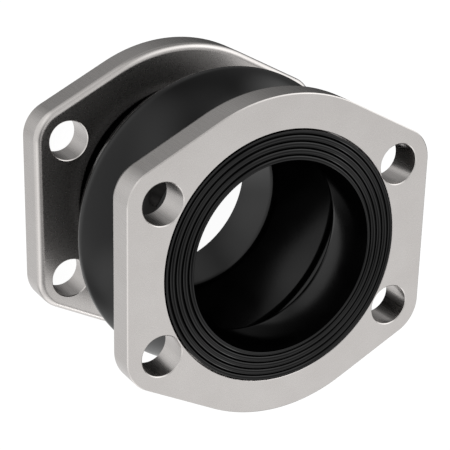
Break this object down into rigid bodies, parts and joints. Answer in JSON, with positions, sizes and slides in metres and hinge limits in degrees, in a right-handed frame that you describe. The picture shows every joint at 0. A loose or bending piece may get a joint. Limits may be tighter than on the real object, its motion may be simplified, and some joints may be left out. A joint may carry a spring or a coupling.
{
  "type": "flanged expansion joint",
  "caption": "Rubber bellows with one moulded arch and ribbed sealing lips, held between two loose bolted metal flanges; takes up pipe movement and vibration.",
  "frame": {"origin": "centre of the lower sealing lip's face, on which the joint stands", "axes": "+Z along the pipe axis from the rear flange to the front flange, +X along the wider bolt spacing, +Y along the narrower one"},
  "size_m": [0.136, 0.133, 0.1],
  "materials": {
    "bellows_rubber": "smooth moulded black rubber, satin",
    "flange_metal": "fine satin, machined all over"
  },
  "bodies": {
    "bellows": {"rubber_bellows": "bellows_rubber"},
    "rear_flange": {"rear_flange": "flange_metal"},
    "front_flange": {"front_flange": "flange_metal"}
  },
  "joints": [
    {"name": "rear_flange_swivel", "type": "hinge", "parent": "bellows", "child": "rear_flange", "pos_m": [0, 0, 0.0073], "axis": [0, 0, 1], "continuous": true},
    {"name": "axial_travel", "type": "slide", "parent": "bellows", "child": "front_flange", "axis": [0, 0, 1], "range_m": [-0.012, 0.008], "stiffness_N_per_m": 60000, "deforming": ["rubber_bellows"]}
  ]
}
